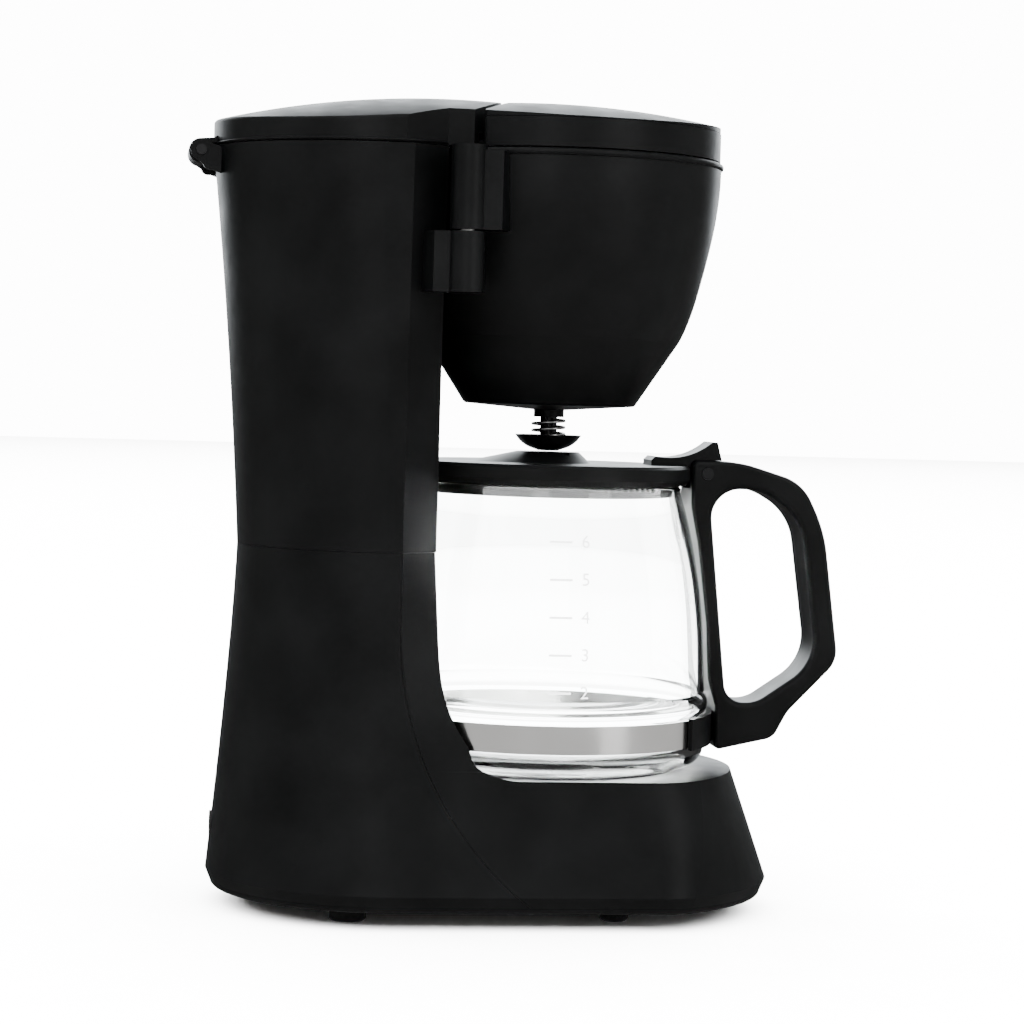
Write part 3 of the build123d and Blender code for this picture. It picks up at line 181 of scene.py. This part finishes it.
# ---- Bead under the tank lid -------------------------------------------------------------------
BEAD_R = 0.42 * MM
BEAD_Z = 260.62 * MM
BEAD_SIDES = 8
BEAD_STEPS = 64
LID_HALF = 54.4 * MM        # half the skirt's width, and the radius of its round back
LID_BACK = 106.9 * MM
CREASE_Y = 45.5 * MM        # here the sides start to lean in towards the head
WAIST_X = 45.6 * MM
WAIST_Y = 31.2 * MM


def build_lid_bead():
    """Moulded bead along the lower edge of the tank lid's skirt."""
    round_back = []
    for step in range(BEAD_STEPS + 1):
        turn = math.pi * step / BEAD_STEPS
        round_back.append((LID_HALF * math.cos(turn), LID_BACK - LID_HALF + LID_HALF * math.sin(turn)))
    path = [(WAIST_X, WAIST_Y), (LID_HALF, CREASE_Y)] + round_back
    path += [(-LID_HALF, CREASE_Y), (-WAIST_X, WAIST_Y)]
    mesh_data = bmesh.new()
    rings = []
    for index, (x, y) in enumerate(path):
        before = Vector(path[max(index - 1, 0)])
        after = Vector(path[min(index + 1, len(path) - 1)])
        along = (after - before).normalized()
        outward = Vector((along.y, -along.x))
        ring = []
        for side in range(BEAD_SIDES):
            angle = 2 * math.pi * side / BEAD_SIDES
            stand_off = BEAD_R * math.cos(angle)
            ring.append(mesh_data.verts.new((x + outward.x * stand_off, y + outward.y * stand_off,
                                             BEAD_Z + BEAD_R * math.sin(angle))))
        rings.append(ring)
    for first, second in zip(rings, rings[1:]):
        for side in range(BEAD_SIDES):
            following = (side + 1) % BEAD_SIDES
            mesh_data.faces.new((first[side], first[following], second[following], second[side]))
    mesh_data.faces.new(rings[0][::-1])
    mesh_data.faces.new(rings[-1])
    bmesh.ops.recalc_face_normals(mesh_data, faces=mesh_data.faces)
    link_mesh("lid_bead", mesh_data, MATERIALS["black_plastic"], "tank_lid")


# ---- Cup marks printed on the glass ----------------------------------------------------------
PRINT = 0.04 * MM           # thickness of the print, and its distance from the glass
FIRST_CUP_Z = 79.5 * MM     # height of the first mark, for FIRST_CUP cups
CUP_STEP = 12.5 * MM
FIRST_CUP, LAST_CUP = 2, 6
FIGURE_Y = -18.3 * MM
FIGURE_HEIGHT = 4.2 * MM
SIZE_OVER_HEIGHT = 1.42     # the built-in font's size over the height of its figures
DASH_Y = -9.9 * MM
DASH_LENGTH = 7.6 * MM
DASH_WIDTH = 0.75 * MM
DASH_STEPS = 8
CLEAR_OF_JUG = -0.2         # X of a plane well to the left of the jug


def print_on_glass(mesh_data, name):
    """Lays a flat drawing in the Y-Z plane onto the jug's left side."""
    glass_tree = BVHTree.FromObject(NODES["jug_glass"], bpy.context.evaluated_depsgraph_get())
    for vertex in mesh_data.verts:
        start = Vector((CLEAR_OF_JUG, vertex.co.y, vertex.co.z))
        hit = glass_tree.ray_cast(start, Vector((1, 0, 0)))[0]
        vertex.co.x = hit.x - PRINT - vertex.co.x
    bmesh.ops.recalc_face_normals(mesh_data, faces=mesh_data.faces)
    return link_mesh(name, mesh_data, cup_print, "jug", smooth=False)


def digit_mesh(digit, y, z, height):
    """One figure as a thin solid in the Y-Z plane, read from the machine's left side."""
    curve = bpy.data.curves.new("figure", "FONT")
    curve.body = str(digit)
    curve.size = height * SIZE_OVER_HEIGHT
    curve.align_x = "CENTER"
    curve.align_y = "CENTER"
    curve.resolution_u = 6
    figure = bpy.data.objects.new("figure", curve)
    bpy.context.scene.collection.objects.link(figure)
    flat = figure.to_mesh()
    mesh_data = bmesh.new()
    mesh_data.from_mesh(flat)
    figure.to_mesh_clear()
    bpy.data.objects.remove(figure)
    bpy.data.curves.remove(curve)
    thicken(mesh_data)
    stand_up(mesh_data, y, z)
    return mesh_data


def dash_mesh(y, z, length, width):
    """One dash, in steps so that it follows the round of the glass."""
    mesh_data = bmesh.new()
    rows = []
    for step in range(DASH_STEPS + 1):
        along = length * (step / DASH_STEPS - 0.5)
        rows.append([mesh_data.verts.new((along, side * width / 2, 0)) for side in (-1, 1)])
    for first, second in zip(rows, rows[1:]):
        mesh_data.faces.new((first[0], second[0], second[1], first[1]))
    thicken(mesh_data)
    stand_up(mesh_data, y, z)
    return mesh_data


def thicken(mesh_data):
    """Turns a flat figure at z = 0 into a closed solid of the print's thickness."""
    outline = bmesh.ops.extrude_face_region(mesh_data, geom=mesh_data.faces[:])
    for item in outline["geom"]:
        if isinstance(item, bmesh.types.BMVert):
            item.co.z += PRINT


def stand_up(mesh_data, y, z):
    """Turns a figure drawn in the X-Y plane to face the left side, centred on y and z."""
    for vertex in mesh_data.verts:
        vertex.co = Vector((vertex.co.z, y - vertex.co.x, z + vertex.co.y))


def build_cup_marks():
    for cup in range(FIRST_CUP, LAST_CUP + 1):
        z = FIRST_CUP_Z + (cup - FIRST_CUP) * CUP_STEP
        print_on_glass(digit_mesh(cup, FIGURE_Y, z, FIGURE_HEIGHT), "cup_figure_%d" % cup)
        print_on_glass(dash_mesh(DASH_Y, z, DASH_LENGTH, DASH_WIDTH), "cup_mark_%d" % cup)


# ---- Stage, light and camera -----------------------------------------------------------------
def area_light(name, place, target, size, power, colour=(1, 1, 1), reflected=True):
    """Rectangular light that faces the target. A light that isn't reflected leaves no highlight."""
    data = bpy.data.lights.new(name, "AREA")
    data.shape = "RECTANGLE"
    data.size, data.size_y = size
    data.energy = power
    data.color = colour
    light = bpy.data.objects.new(name, data)
    bpy.context.scene.collection.objects.link(light)
    light.location = place
    light.rotation_euler = (Vector(target) - Vector(place)).to_track_quat("-Z", "Y").to_euler()
    light.visible_glossy = reflected


FLOOR_HALF = 8
BACKDROP = 14.0             # brightness of the backdrop, directly and through the glass
ROOM_BRIGHT = 0.6           # brightness of the room in reflections, in front of the left side
ROOM_DIM = 0.12             # and behind the right side


def build_floor():
    floor_mesh = bmesh.new()
    bmesh.ops.create_grid(floor_mesh, x_segments=4, y_segments=4, size=FLOOR_HALF)
    mesh = bpy.data.meshes.new("floor")
    floor_mesh.to_mesh(mesh)
    floor_mesh.free()
    floor = bpy.data.objects.new("floor", mesh)
    bpy.context.scene.collection.objects.link(floor)
    mesh.materials.append(surface("floor_paint", (0.9, 0.9, 0.9), (0.93, 0.93, 0.93),
                                  (0.7, 0.8), 200, 0.00002, ior=1.2))
    floor.visible_glossy = False


def build_world():
    """White backdrop that stays dim in reflections, so that the black plastic stays black."""
    world = bpy.data.worlds.new("studio")
    bpy.context.scene.world = world
    world.use_nodes = True
    tree = world.node_tree
    background = tree.nodes["Background"]
    background.inputs["Color"].default_value = (1, 1, 1, 1)
    path = tree.nodes.new("ShaderNodeLightPath")
    seen = tree.nodes.new("ShaderNodeMath")
    seen.operation = "MAXIMUM"
    strength = tree.nodes.new("ShaderNodeMapRange")
    strength.inputs["To Max"].default_value = BACKDROP
    direction = tree.nodes.new("ShaderNodeTexCoord")
    axes = tree.nodes.new("ShaderNodeSeparateXYZ")
    room = tree.nodes.new("ShaderNodeMapRange")
    room.inputs["From Min"].default_value = 0.2
    room.inputs["From Max"].default_value = 0.75
    room.inputs["To Min"].default_value = ROOM_BRIGHT
    room.inputs["To Max"].default_value = ROOM_DIM
    tree.links.new(direction.outputs["Generated"], axes.inputs["Vector"])
    tree.links.new(axes.outputs["X"], room.inputs["Value"])
    tree.links.new(room.outputs["Result"], strength.inputs["To Min"])
    tree.links.new(path.outputs["Is Camera Ray"], seen.inputs[0])
    tree.links.new(path.outputs["Is Transmission Ray"], seen.inputs[1])
    tree.links.new(seen.outputs["Value"], strength.inputs["Value"])
    tree.links.new(strength.outputs["Result"], background.inputs["Strength"])


def build_lights():
    centre = (0, 0, 0.14)
    area_light("ceiling", (0, 0, 4), (0, 0, 0), (16, 16), 18000, reflected=False)
    area_light("overhead", (-0.3, 0.0, 1.2), centre, (1.2, 1.0), 4)
    area_light("left_softbox", (-0.9, 0.2, 0.5), centre, (0.25, 0.7), 1.5)
    area_light("right_softbox", (-0.75, -0.6, 0.45), centre, (0.35, 0.8), 2.4)
    area_light("low_strip", (-0.74, -0.69, 0.03), (0, -0.012, 0.06), (0.33, 0.3), 0.22)
    area_light("far_softbox", (1.3, -0.1, 0.62), (0, 0, 0.28), (2.2, 0.8), 38, (0.92, 0.97, 1.0))


# The camera stands at the machine's left side, turned a little to the back, just above jug height.
TURN = math.radians(7.7)
RISE = math.radians(2.37)
ROLL = math.radians(1.64)
DISTANCE = 1.015
TARGET = Vector((0, 0, 0.137))
LENS = 101.95


def build_camera():
    back = Vector((-math.cos(TURN) * math.cos(RISE), math.sin(TURN) * math.cos(RISE), math.sin(RISE)))
    right = (-back).cross(Vector((0, 0, 1))).normalized()
    up = right.cross(-back)
    rolled_right = right * math.cos(ROLL) + up * math.sin(ROLL)
    rolled_up = up * math.cos(ROLL) - right * math.sin(ROLL)
    data = bpy.data.cameras.new("camera")
    data.sensor_width = 36
    data.lens = LENS
    data.clip_start = 0.01
    camera = bpy.data.objects.new("camera", data)
    bpy.context.scene.collection.objects.link(camera)
    turn = Matrix((rolled_right, rolled_up, back)).transposed().to_4x4()
    camera.matrix_world = Matrix.Translation(TARGET + back * DISTANCE) @ turn
    bpy.context.scene.camera = camera


build_lid_bead()
build_cup_marks()
build_floor()
build_world()
build_lights()
build_camera()
